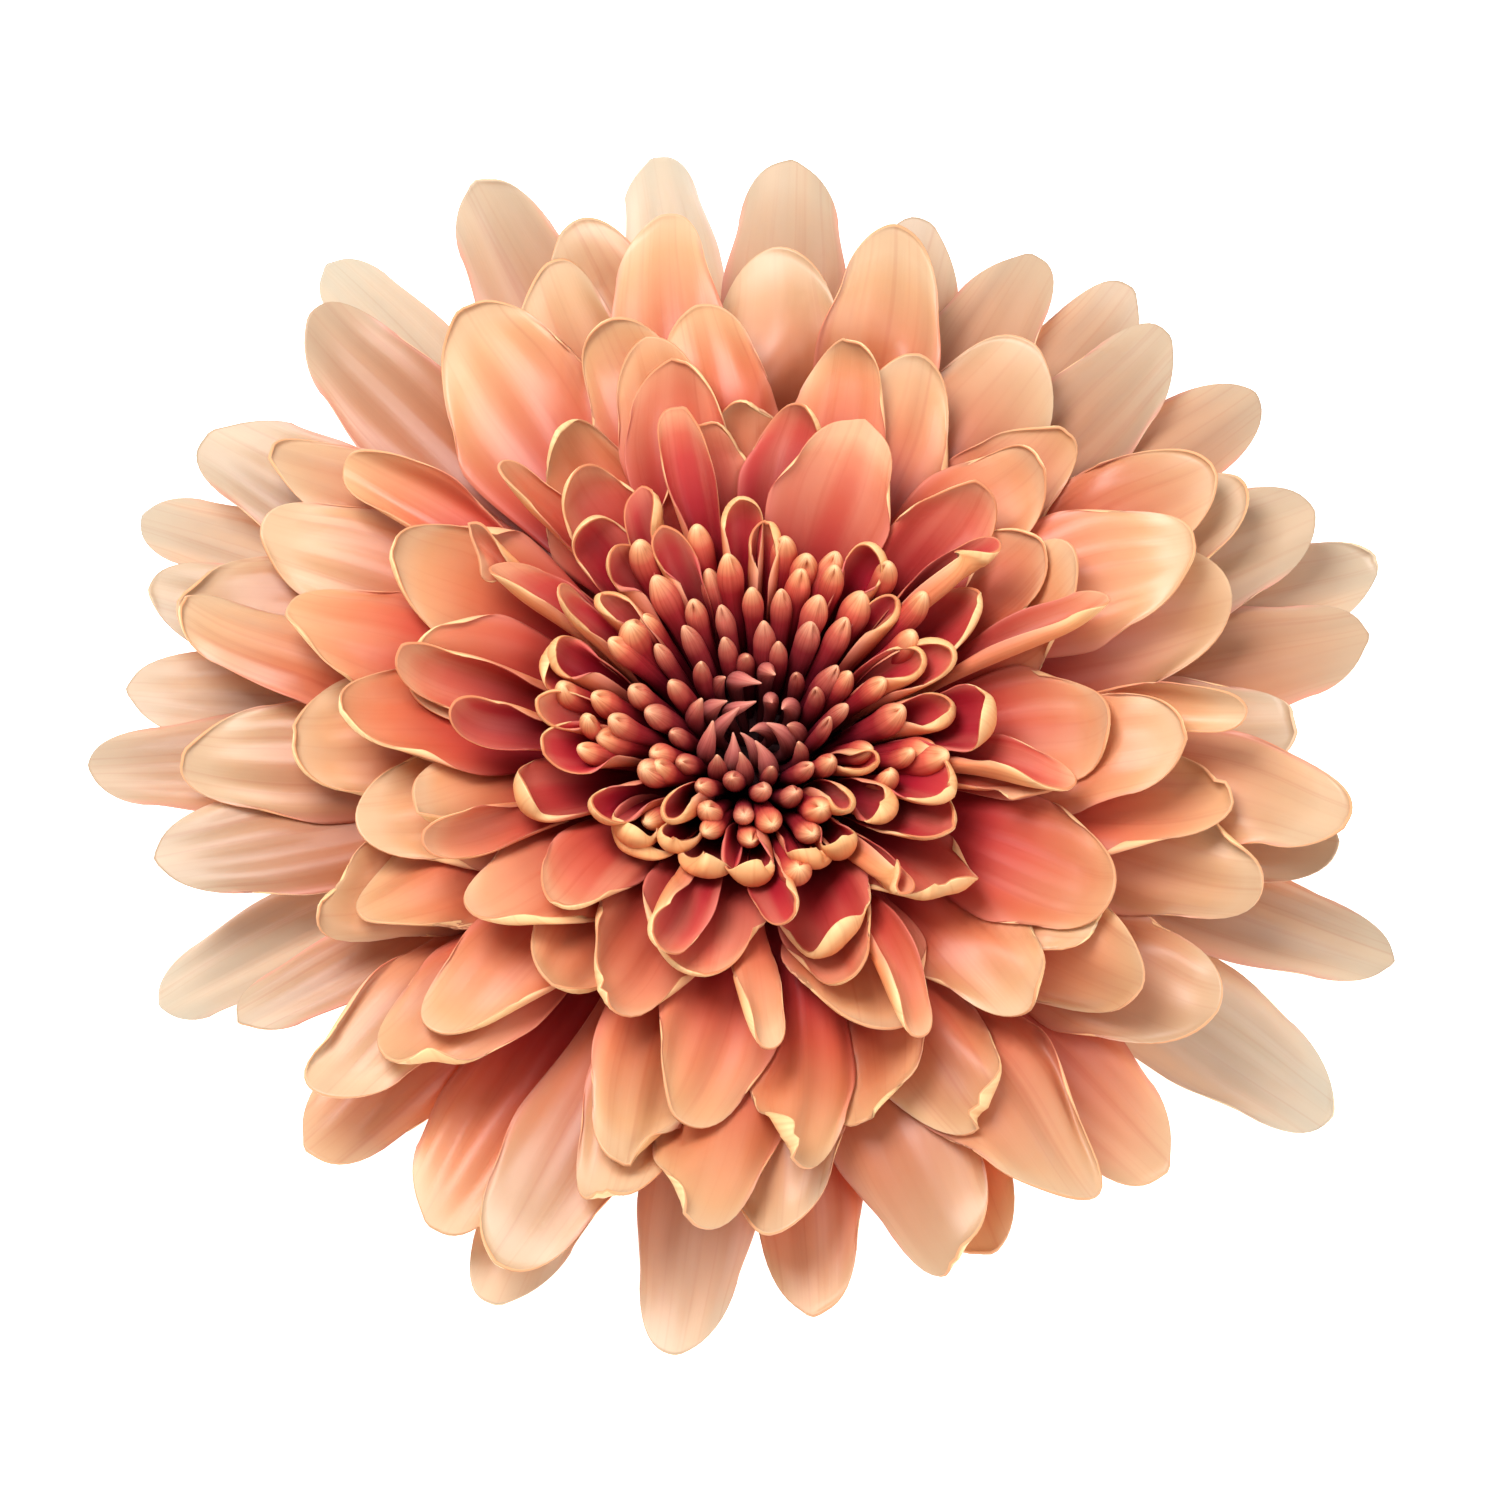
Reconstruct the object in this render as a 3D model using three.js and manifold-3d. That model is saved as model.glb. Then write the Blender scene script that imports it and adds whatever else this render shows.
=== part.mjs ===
import * as THREE from 'three';
import { mergeVertices } from 'three/addons/utils/BufferGeometryUtils.js';
import Module from 'manifold-3d';

const wasm = await Module();
wasm.setup();

// One large chrysanthemum bloom as picked. Millimetres and degrees, +Z up, the bloom's axis on Z,
// and the surface that it rests on at z = 0.

// Driving dimensions
const GOLDEN_ANGLE = 137.50776;
const BLOOM_FLORETS = 200;
const CENTRE_FLORETS = 83;
const INNER_FLORETS = 50;
const OUTER_FLORETS = 45;
const RECEPTACLE_RADIUS = 12.7;
const ROOT_HEIGHT = 14.5;
const ROOT_DROP = 3;
const BLADE_THICKNESS = 0.7;
const NECK_SHARE = 0.35;
const TIP_SHARE = 0.68;
const TIP_ROUNDING = 0.05;
const HOOK_AT = 0.84;
const MOST_HOOK = 75;
const QUILL_END = 0.93;
const QUILL_MARGIN = 0.3;
const CLEARANCE = 0.35;
const TURNS = 20;

// How far each floret strays from the rule: degrees of bearing, millimetres of height, shares of the rest
const STRAY = { bearing: 1.5, reach: 0.03, height: 0.4, width: 0.12, bow: 0.1, hook: 0.5 };

// Form of the florets from the axis outwards: share of the receptacle's radius, tip radius, tip height,
// flat width, bow of the midrib, turn of the tip, and how far the margins roll in at root and tip
const FORM = [
  [0.00, 1.2, 18.0, 3.8, -30, 20, 1.0, 1.0],
  [0.16, 2.6, 21.5, 4.8, -35, 35, 1.1, 1.1],
  [0.30, 5.5, 24.5, 6.6, -20, 60, 2.0, 2.4],
  [0.36, 8.8, 25.5, 8.2, 10, 70, 2.6, 2.8],
  [0.50, 14.0, 27.0, 8.8, 16, 65, 2.6, 2.8],
  [0.63, 19.5, 27.5, 9.0, 18, 60, 2.5, 2.4],
  [0.70, 24.0, 27.5, 8.6, 20, 75, 0.6, 1.4],
  [0.81, 33.5, 25.5, 10.2, 20, 70, 0.3, 0.9],
  [0.88, 42.0, 22.5, 11.5, 17, 45, 0.2, 0.6],
  [0.95, 51.0, 18.5, 12.0, 13, 20, 0.2, 0.45],
];

// Guard florets, which make the outline: bearing, reach from the axis, height of the tip, width
const GUARDS = [
  [1, 50, 16, 12], [11, 58, 12, 12], [19, 62, 8, 11], [25, 57, 15, 13],
  [38, 60, 11, 11], [46, 57, 15, 11], [53, 60, 10, 11], [63, 57, 14, 11],
  [72, 57, 12, 12], [86, 61, 12, 12], [98, 68, 0, 9], [113, 64, 12, 12],
  [127, 67, 6, 8.5], [134, 60, 15, 12], [148, 60, 14, 12], [155, 63, 7, 8.5],
  [164, 58, 14, 11], [172, 58, 9, 11], [181, 61, 10, 10], [192, 55, 15, 12],
  [200, 58, 0, 9], [210, 53, 15, 7.5], [223, 55, 12, 12], [237, 54, 15, 12],
  [245, 56, 8, 11], [264, 56, 8, 11], [277, 53, 11, 11], [295, 52, 12, 12],
  [312, 54, 11, 12], [329, 61, 0, 12], [341, 61, 9, 10], [350, 54, 14, 12],
];
const GUARD_ROOT_HEIGHT = 12.1;
const GUARD_BOW = 10;
const GUARD_DROOP = 0.8;
const GUARD_ROLL = [0.2, 0.5];
const GUARD_HOOK = 6;

// Surfaces between the layers of florets, which those on either side are bent clear of: radius and height
const CENTRE_AND_INNER = [[8.0, 12.7], [9.8, 16.5], [12.8, 21.3], [16.2, 25.0], [19.8, 27.6], [23, 29.6]];
const INNER_AND_OUTER = [[9.9, 12.2], [14.8, 17.0], [21, 21.1], [28, 24.0], [34.5, 25.4], [42, 26.5]];
const OUTER_AND_GUARD = [[11.2, 11.9], [16, 13.8], [24, 15.7], [34, 16.4], [44, 16.5], [52, 16.2], [70, 15]];

// Beds of packed floret bases, one inside the next like the layers of an onion: radius and height
const CENTRE_BED = [
  [0, 13.75], [7.6, 13.0], [9.5, 16.6], [12.4, 21.3], [15.2, 24.4], [5.2, 21.0], [2.4, 16.6], [0, 15.2],
];
const INNER_BED = [
  [8.5, 12.75], [9.4, 12.55], [14.4, 17.3], [20.8, 21.6], [25.0, 23.3], [16.2, 24.6], [13.2, 21.3],
  [10.2, 16.4],
];
const OUTER_BED = [
  [10.4, 12.15], [11.0, 12.1], [24, 16.1], [34, 17.0], [36, 18.2], [32, 21.9], [28.5, 23.3], [21.2, 20.6],
  [14.8, 16.4],
];
const GUARD_BED = [
  [11.5, 11.75], [12.4, 11.5], [24, 13.9], [34, 14.9], [34, 15.7], [24, 15.3], [16.2, 13.5],
];

// Stub of the stalk with the receptacle, and the calyx that hugs its underside
const STEM_PROFILE = [
  [0, 0], [3.4, 0], [3.7, 0.4], [3.7, 7.0], [4.4, 8.2], [7.5, 9.6], [11, 10.4], [11.6, 11.5], [8, 12.5],
  [0, 13.4],
];
const CALYX_PROFILE = [
  [4.1, 6.0], [9, 7.7], [14, 10.6], [11.95, 11.3], [11.3, 10.05], [7.6, 9.2], [4.1, 7.0],
];
const BRACT_ROWS = [
  { count: 8, root: [6.2, 7.6], tip: [13.4, 8.0], width: 4.8, bow: 6, turn: 0 },
  { count: 11, root: [10.2, 9.4], tip: [17.4, 10.0], width: 5.6, bow: 6, turn: 9 },
];
const BRACT_THICKNESS = 0.8;

const COLOURS = {
  stem: '#8fa860',
  bracts: '#6f8f4c',
  guard_florets: '#f3dcb8',
  outer_florets: '#efb084',
  inner_florets: '#c4543f',
  centre_florets: '#9c4630',
};

function radians(degrees) {
  return degrees * Math.PI / 180;
}

function mix(a, b, share) {
  return a + (b - a) * share;
}

function smooth(x) {
  const share = Math.min(1, Math.max(0, x));
  return share * share * (3 - 2 * share);
}

// Seeded draw from 0 to 1 for floret i, number k of its draws
function draw(i, k) {
  const value = Math.sin(i * 12.9898 + k * 78.233) * 43758.5453;
  return value - Math.floor(value);
}

function spread(i, k) {
  return 2 * draw(i, k) - 1;
}

// Rows of a table read between its lines, by their first column
function between(rows, x) {
  let n = 1;
  while (n < rows.length - 1 && rows[n][0] < x) {
    n += 1;
  }
  const [low, high] = [rows[n - 1], rows[n]];
  const share = (x - low[0]) / (high[0] - low[0]);
  return low.slice(1).map((value, column) => mix(value, high[column + 1], share));
}

// Floret i of the rule, counted from the axis outwards
function ruledFloret(i) {
  const share = Math.sqrt((i + 0.5) / BLOOM_FLORETS);
  const [tipRadius, tipHeight, width, bow, hook, rootRoll, tipRoll] = between(FORM, share);
  return {
    share,
    bearing: radians(i * GOLDEN_ANGLE + STRAY.bearing * spread(i, 1)),
    rootRadius: RECEPTACLE_RADIUS * share,
    rootHeight: ROOT_HEIGHT - ROOT_DROP * share * share,
    tipRadius: tipRadius * (1 + STRAY.reach * spread(i, 2)),
    tipHeight: tipHeight + STRAY.height * spread(i, 3),
    width: width * (1 + STRAY.width * spread(i, 5)),
    bow: radians(bow * (1 + STRAY.bow * spread(i, 4))),
    hook: radians(Math.min(MOST_HOOK, hook * (1 + STRAY.hook * spread(i, 6)))),
    roll: [rootRoll, tipRoll],
  };
}

function guardFloret([bearing, reach, height, width]) {
  return {
    bearing: radians(bearing),
    rootRadius: RECEPTACLE_RADIUS,
    rootHeight: GUARD_ROOT_HEIGHT,
    tipRadius: reach,
    tipHeight: height,
    width,
    bow: radians(GUARD_BOW + GUARD_DROOP * (GUARD_ROOT_HEIGHT - height)),
    hook: radians(GUARD_HOOK),
    roll: GUARD_ROLL,
  };
}

function bract({ root, tip, width, bow }, bearing) {
  return {
    bearing: radians(bearing),
    rootRadius: root[0],
    rootHeight: root[1],
    tipRadius: tip[0],
    tipHeight: tip[1],
    width,
    bow: radians(bow),
    hook: 0,
    roll: [0.5, 0.3],
  };
}

// Midrib of a floret: a bowed arc from root to tip, whose end turns up by the hook
function heading(floret, s) {
  const rise = Math.atan2(floret.tipHeight - floret.rootHeight, floret.tipRadius - floret.rootRadius);
  return rise + floret.bow * (1 - 2 * s) + floret.hook * smooth((s - HOOK_AT) / (1 - HOOK_AT));
}

function midrib(floret, s) {
  const chord = Math.hypot(floret.tipHeight - floret.rootHeight, floret.tipRadius - floret.rootRadius);
  const length = chord * floret.bow / Math.sin(floret.bow);
  const steps = 24;
  let radius = floret.rootRadius;
  let height = floret.rootHeight;
  for (let n = 0; n < steps; n += 1) {
    const angle = heading(floret, s * (n + 0.5) / steps);
    radius += length * s / steps * Math.cos(angle);
    height += length * s / steps * Math.sin(angle);
  }
  return { radius, height, angle: heading(floret, s) };
}

// Place in space of a point that lies `across` and `over` the midrib at s
function aroundMidrib(floret, s, across, over) {
  const { radius, height, angle } = midrib(floret, s);
  const out = radius - over * Math.sin(angle);
  const [cos, sin] = [Math.cos(floret.bearing), Math.sin(floret.bearing)];
  return [out * cos - across * sin, out * sin + across * cos, height + over * Math.cos(angle)];
}

// Closed blank of a blade: two alike sheets of u from 1 to -1 and t from 0 to 1, joined by a rim
function bladeBlank(columns, rows) {
  const sheet = new THREE.PlaneGeometry(2, 1, columns, rows);
  const places = sheet.attributes.position;
  const count = places.count;
  const points = [];
  for (const side of [1, -1]) {
    for (let n = 0; n < count; n += 1) {
      points.push({ u: -places.getX(n), t: places.getY(n) + 0.5, side });
    }
  }
  const triangles = [];
  const index = sheet.index.array;
  for (let n = 0; n < index.length; n += 3) {
    const [a, b, c] = index.slice(n, n + 3);
    triangles.push(a, b, c, a + count, c + count, b + count);
  }
  const rim = [];
  for (let n = 0; n < columns; n += 1) {
    rim.push(n);
  }
  for (let n = 0; n < rows; n += 1) {
    rim.push(n * (columns + 1) + columns);
  }
  for (let n = columns; n > 0; n -= 1) {
    rim.push(rows * (columns + 1) + n);
  }
  for (let n = rows; n > 0; n -= 1) {
    rim.push(n * (columns + 1));
  }
  rim.forEach((a, n) => {
    const b = rim[(n + 1) % rim.length];
    triangles.push(a, b, a + count, b, b + count, a + count);
  });
  return { points, triangles };
}

function solidFrom(places, triangles) {
  return new wasm.Manifold(new wasm.Mesh({
    numProp: 3,
    vertProperties: new Float32Array(places.flat()),
    triVerts: new Uint32Array(triangles),
  }));
}

// Moves a point [radius, height] square off a surface until it lies `gap` above it, or below where side is -1
function offSurface(point, surface, side, gap) {
  let [radius, height] = point;
  let nearest = Infinity;
  let shift = [0, 0];
  for (let n = 1; n < surface.length; n += 1) {
    const [a, b] = [surface[n - 1], surface[n]];
    const along = [b[0] - a[0], b[1] - a[1]];
    const span = Math.hypot(...along);
    const from = [radius - a[0], height - a[1]];
    const share = Math.min(1, Math.max(0, (from[0] * along[0] + from[1] * along[1]) / (span * span)));
    const distance = Math.hypot(from[0] - share * along[0], from[1] - share * along[1]);
    if (distance < nearest) {
      nearest = distance;
      const normal = [-along[1] / span * side, along[0] / span * side];
      const lack = Math.max(0, gap - (from[0] * normal[0] + from[1] * normal[1]));
      shift = [lack * normal[0], lack * normal[1]];
    }
  }
  return [radius + shift[0], height + shift[1]];
}

// Bends a point clear of the surfaces below and above its layer, and of the ground
function bentClear([x, y, z], { floor, ceiling }, above, below) {
  const radius = Math.hypot(x, y);
  let bent = [radius, z];
  if (ceiling) {
    bent = offSurface(bent, ceiling, -1, CLEARANCE + below);
  }
  if (floor) {
    bent = offSurface(bent, floor, 1, CLEARANCE + above);
  }
  const scale = bent[0] / radius;
  return [x * scale, y * scale, Math.max(bent[1], above)];
}

// A flat floret: its width swells from a narrow root, and its tip is rounded
const LONG = { stations: [0, 0.42, 0.82, 1], ...bladeBlank(2, 3) };
const SHORT = { stations: [0, 0.7, 1], ...bladeBlank(2, 2) };

function blade(floret, blank, start, layer, thickness) {
  const places = blank.points.map(({ u, t, side }) => {
    const station = blank.stations[Math.round(t * (blank.stations.length - 1))];
    const tip = station === 1 ? 1 : 0;
    const s = mix(start, 1, station) - TIP_ROUNDING * tip * u * u;
    const swell = mix(NECK_SHARE, 1, smooth((s - 0.1) / 0.65));
    const half = floret.width / 2 * swell * (tip ? TIP_SHARE : 1);
    const roll = mix(floret.roll[0], floret.roll[1], smooth((s - 0.5) / 0.35));
    const lift = side * thickness / 2;
    const across = (half / roll - lift) * Math.sin(roll * u);
    const over = half / roll * (1 - Math.cos(roll * u)) + lift * Math.cos(roll * u);
    const place = aroundMidrib(floret, s, across, over);
    return bentClear(place, layer, side > 0 ? thickness : 0, side < 0 ? thickness : 0);
  });
  return solidFrom(places, blank.triangles);
}

// A quill: a floret rolled into a tube with a rounded end
function quillBlank(sides, bands) {
  const tube = new THREE.CylinderGeometry(1, 1, 1, sides, bands);
  tube.deleteAttribute('normal');
  tube.deleteAttribute('uv');
  const merged = mergeVertices(tube);
  const places = merged.attributes.position;
  const points = [];
  for (let n = 0; n < places.count; n += 1) {
    points.push({ x: places.getX(n), y: -places.getZ(n), t: places.getY(n) + 0.5 });
  }
  return { points, triangles: Array.from(merged.index.array) };
}

const QUILL = quillBlank(5, 1);

function quill(floret, layer) {
  const radius = floret.width / (2 * Math.PI) * 1.08;
  const places = QUILL.points.map(({ x, y, t }) => {
    const onAxis = Math.hypot(x, y) < 0.5;
    const atRoot = t < 0.5;
    const s = atRoot ? 0.1 + 0.5 * floret.share : onAxis ? 1 : QUILL_END;
    const girth = atRoot ? 0.35 * radius : radius;
    return bentClear(aroundMidrib(floret, s, girth * x, girth * y), layer, QUILL_MARGIN, 0);
  });
  return solidFrom(places, QUILL.triangles);
}

// A solid turned round the axis from a closed profile
function turned(profile) {
  const loop = profile.map(([radius, height]) => new THREE.Vector2(radius, height));
  if (profile[0][0] > 0) {
    loop.push(loop[0].clone());
  }
  const lathe = new THREE.LatheGeometry(loop, TURNS);
  lathe.rotateX(Math.PI / 2);
  lathe.deleteAttribute('normal');
  lathe.deleteAttribute('uv');
  const merged = mergeVertices(lathe, 1e-4);
  const places = merged.attributes.position;
  const corners = [];
  for (let n = 0; n < places.count; n += 1) {
    corners.push([places.getX(n), places.getY(n), places.getZ(n)]);
  }
  const index = Array.from(merged.index.array);
  const triangles = [];
  for (let n = 0; n < index.length; n += 3) {
    const [a, b, c] = index.slice(n, n + 3);
    if (a !== b && b !== c && c !== a) {
      triangles.push(a, b, c);
    }
  }
  return solidFrom(corners, triangles);
}

function fused(bed, repeats) {
  return repeats.reduce((whole, one) => whole.add(one), bed);
}

// The largest closed skin of a fused solid: hollows that fusing sealed are filled and loose scraps dropped
function outerSkin(solid) {
  const mesh = solid.getMesh();
  const index = mesh.triVerts;
  const places = mesh.vertProperties;
  const width = mesh.numProp;
  const parent = Array.from({ length: places.length / width }, (_, n) => n);
  const top = (n) => {
    let here = n;
    while (parent[here] !== here) {
      parent[here] = parent[parent[here]];
      here = parent[here];
    }
    return here;
  };
  for (let n = 0; n < index.length; n += 3) {
    parent[top(index[n])] = top(index[n + 1]);
    parent[top(index[n + 1])] = top(index[n + 2]);
  }
  const corner = (n) => new THREE.Vector3().fromArray(places, index[n] * width);
  const skins = new Map();
  for (let n = 0; n < index.length; n += 3) {
    const root = top(index[n]);
    const skin = skins.get(root) ?? { volume: 0, corners: [] };
    const [a, b, c] = [corner(n), corner(n + 1), corner(n + 2)];
    skin.volume += a.dot(b.clone().cross(c)) / 6;
    skin.corners.push(...a.toArray(), ...b.toArray(), ...c.toArray());
    skins.set(root, skin);
  }
  const largest = [...skins.values()].reduce((best, skin) => (skin.volume > best.volume ? skin : best));
  const geometry = new THREE.BufferGeometry();
  geometry.setAttribute('position', new THREE.Float32BufferAttribute(largest.corners, 3));
  return geometry;
}

function named(name, solid, roughness) {
  const geometry = outerSkin(solid);
  geometry.computeVertexNormals();
  const material = new THREE.MeshStandardMaterial({ color: COLOURS[name], roughness, metalness: 0 });
  const mesh = new THREE.Mesh(geometry, material);
  mesh.name = name;
  return mesh;
}

function range(from, count) {
  return Array.from({ length: count }, (_, n) => from + n);
}

function centreFlorets() {
  const quills = range(0, CENTRE_FLORETS).map((i) => quill(ruledFloret(i), { floor: CENTRE_AND_INNER }));
  return fused(turned(CENTRE_BED), quills);
}

function innerFlorets() {
  const layer = { floor: INNER_AND_OUTER, ceiling: CENTRE_AND_INNER };
  const blades = range(CENTRE_FLORETS, INNER_FLORETS)
    .map((i) => blade(ruledFloret(i), SHORT, 0.42, layer, BLADE_THICKNESS));
  return fused(turned(INNER_BED), blades);
}

function outerFlorets() {
  const layer = { floor: OUTER_AND_GUARD, ceiling: INNER_AND_OUTER };
  const blades = range(CENTRE_FLORETS + INNER_FLORETS, OUTER_FLORETS)
    .map((i) => blade(ruledFloret(i), LONG, 0.4, layer, BLADE_THICKNESS));
  return fused(turned(OUTER_BED), blades);
}

function guardFlorets() {
  const layer = { ceiling: OUTER_AND_GUARD };
  const blades = GUARDS.map((guard) => blade(guardFloret(guard), LONG, 0.06, layer, BLADE_THICKNESS));
  return fused(turned(GUARD_BED), blades);
}

function bracts() {
  const blades = BRACT_ROWS.flatMap((row) => range(0, row.count).map((n) => {
    const bearing = row.turn + 360 * n / row.count;
    return blade(bract(row, bearing), SHORT, 0, {}, BRACT_THICKNESS);
  }));
  return fused(turned(CALYX_PROFILE), blades);
}

const bloom = new THREE.Group();
bloom.add(named('stem', turned(STEM_PROFILE), 0.6));
bloom.add(named('bracts', bracts(), 0.6));
bloom.add(named('guard_florets', guardFlorets(), 0.5));
bloom.add(named('outer_florets', outerFlorets(), 0.5));
bloom.add(named('inner_florets', innerFlorets(), 0.5));
bloom.add(named('centre_florets', centreFlorets(), 0.5));

// The origin is the middle of the base of the bloom's box
const box = new THREE.Box3().setFromObject(bloom);
bloom.position.set(-(box.min.x + box.max.x) / 2, -(box.min.y + box.max.y) / 2, -box.min.z);

export default bloom;
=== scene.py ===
import math
from types import SimpleNamespace

import bpy
import numpy as np
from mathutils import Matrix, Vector


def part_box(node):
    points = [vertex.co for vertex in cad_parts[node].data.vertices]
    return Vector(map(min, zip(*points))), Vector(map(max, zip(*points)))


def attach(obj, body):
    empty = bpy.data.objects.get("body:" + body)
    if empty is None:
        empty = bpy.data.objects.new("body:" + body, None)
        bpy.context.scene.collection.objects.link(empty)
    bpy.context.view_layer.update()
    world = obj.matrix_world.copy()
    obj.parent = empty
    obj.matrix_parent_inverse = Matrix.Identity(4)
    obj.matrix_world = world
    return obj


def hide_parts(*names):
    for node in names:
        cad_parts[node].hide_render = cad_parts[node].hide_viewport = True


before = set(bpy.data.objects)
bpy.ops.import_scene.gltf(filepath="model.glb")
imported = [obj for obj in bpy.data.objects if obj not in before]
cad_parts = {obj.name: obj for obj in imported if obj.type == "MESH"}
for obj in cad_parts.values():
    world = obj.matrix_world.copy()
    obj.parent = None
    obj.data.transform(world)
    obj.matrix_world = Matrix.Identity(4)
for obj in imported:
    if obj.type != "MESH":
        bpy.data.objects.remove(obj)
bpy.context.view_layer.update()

# One large chrysanthemum bloom as picked, face up. Lengths are in millimetres and angles in degrees
# where nothing else is said. MM turns millimetres into the frame's metres.
MM = 0.001

# The spiral rule: the turn from one floret to the next, how many would fill the whole receptacle, how
# many each kind takes, and the height of the roots in the middle and their drop towards the edge
GOLDEN_ANGLE = 137.50776
BLOOM_FLORETS = 330
CENTRE_FLORETS = 136
INNER_FLORETS = 54
OUTER_FLORETS = 54
RULED_FLORETS = CENTRE_FLORETS + INNER_FLORETS + OUTER_FLORETS
RECEPTACLE_RADIUS = 12.7
ROOT_HEIGHT = 14.5
ROOT_DROP = 3.0

# Form of the florets from the axis outwards: share of the receptacle's radius, tip radius, tip height,
# flat width, bow of the midrib, turn of the tip, and how far the margins roll in at root, middle and
# tip, in radians
FORM = np.array([
    [0.00, 0.4, 22.6, 5.0, -30, 20, 1.0, 1.0, 1.0],
    [0.14, 2.2, 24.0, 5.4, -45, 20, 1.1, 1.1, 1.1],
    [0.23, 5.2, 25.2, 5.8, -22, 10, 2.0, 2.4, 2.4],
    [0.29, 8.0, 26.0, 6.8, 3, 6, 2.6, 2.8, 2.8],
    [0.45, 14.0, 27.2, 7.5, 14, 22, 2.6, 2.9, 2.6],
    [0.56, 18.2, 27.8, 7.9, 20, 40, 2.6, 2.9, 2.1],
    [0.62, 21.2, 28.0, 9.0, 26, 70, 2.4, 2.5, 1.7],
    [0.66, 24.6, 27.8, 10.2, 28, 90, 2.0, 1.7, 1.3],
    [0.70, 29.0, 27.2, 11.6, 28, 78, 1.6, 0.9, 0.9],
    [0.755, 36.0, 25.6, 12.6, 28, 54, 1.2, 0.1, 0.4],
    [0.81, 45.0, 22.2, 13.6, 26, 36, 1.0, -0.5, -0.1],
    [0.86, 53.0, 17.4, 13.2, 22, 24, 0.9, -0.6, -0.3],
])

# Where on the receptacle's radius the florets change: start and length of each stretch, as shares
CLAWS_END = (0.16, 0.28)
FIRST_CUPS = (0.4, 0.1)
ALL_CUPS = (0.565, 0.05)
LIE_FLAT = (0.58, 0.22)
LOOSEN = (0.6, 0.06)
GIVE_WAY = (0.6, 0.13)
CUPS_OPEN = (0.62, 0.1)

# How many of the florets among the quills are cups, and from where to where rims turn up and petals curl
CUPS_AMONG_QUILLS = 0.08
RIMS_FROM = 0.62
CURLS_TO = 0.79

# Some florets stand out from the rule. The one nearest to a bearing and reach gets a form of its own,
# with its angles in radians; none is further in than this one
ODD_FLORETS_FROM = CENTRE_FLORETS - 14

# The one broad petal that is seen whole beside the quills. Its middle and its tip are places in the
# plane; florets whose tips are near its middle are left out, and those near its tip are pressed down
BIG_PETAL_PLACE = (68, 27.0)
BIG_PETAL = {
    "bearing": 1.2, "tip": (28.0, 29.0), "width": 12.6, "rolls": (1.6, 0.7, 0.9), "hook": 0.1,
    "point": 1.0, "nip": 0.4, "skew": 0.0, "wave": 0.0, "twist": 0.1, "bend": 0.0, "lip_width": 0.0,
    "hue": 0.71, "luck": 0.9, "give": 0.0,
}
BIG_PETAL_MIDDLE = 25.0 * np.exp(1.17j)
BIG_PETAL_CLEARED = 7.4
BIG_PETAL_CLEARED_TO = 29
BIG_PETAL_TIP = 28.0 * np.exp(1.2j)
BIG_PETAL_PRESSED = 14

# Inner florets with a strong lip: bearing and reach of the one meant, then its features as named below
LIP_FEATURES = ("hook", "lip_width", "lip_bearing", "lip_from", "lip_spread")
LIPPED_FLORETS = [
    [157, 34.0, 1.0, 3.8, 1.2, 0.2, 0.8],
    [116, 24.0, 0.5, 3.8, -1.3, 0.15, 0.7],
    [45, 33.0, 0.5, 3.8, 1.3, 0.15, 0.7],
    [30, 28.0, 0.8, 3.7, -1.2, 0.2, 0.7],
    [196, 30.0, 0.6, 3.6, 1.3, 0.2, 0.8],
    [249, 22.0, 1.9, 3.0, -0.7, 0.4, 0.6],
    [270, 24.0, 2.1, 2.0, 0.6, 0.5, 0.6],
    [286, 25.0, 1.8, 3.0, 0.9, 0.3, 0.7],
    [302, 30.0, 0.9, 3.4, -1.2, 0.2, 0.7],
    [338, 33.0, 0.7, 3.8, -1.2, 0.2, 0.7],
]

# Guard florets, which make the outline: bearing, reach from the axis, height of the tip, width
GUARDS = [
    [1, 50, 16, 12], [11, 58, 12, 12], [19, 62, 8, 11], [25, 57, 15, 13],
    [38, 60, 11, 11], [46, 57, 15, 11], [53, 60, 10, 11], [63, 57, 14, 11],
    [72, 57, 12, 12], [86, 61, 12, 12], [98, 68, 0.4, 9], [113, 64, 12, 12],
    [127, 67, 6, 8.5], [134, 60, 15, 12], [148, 60, 14, 12], [155, 63, 7, 8.5],
    [164, 58, 14, 11], [172, 58, 9, 11], [181, 61, 10, 10], [192, 55, 15, 12],
    [200, 58, 0.4, 9], [210, 53, 15, 7.5], [223, 55, 12, 12], [237, 54, 15, 12],
    [245, 56, 8, 11], [264, 56, 8, 11], [277, 53, 11, 11], [295, 52, 12, 12],
    [312, 54, 11, 12], [329, 61, 0.4, 12], [341, 61, 9, 10], [350, 54, 14, 12],
]
GUARD_ROOT_HEIGHT = 12.1
GUARD_BOW = 13
GUARD_DROOP = 0.8
GUARD_PALE_BELOW = 13
GUARD_PALE_WITHIN = 9

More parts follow.
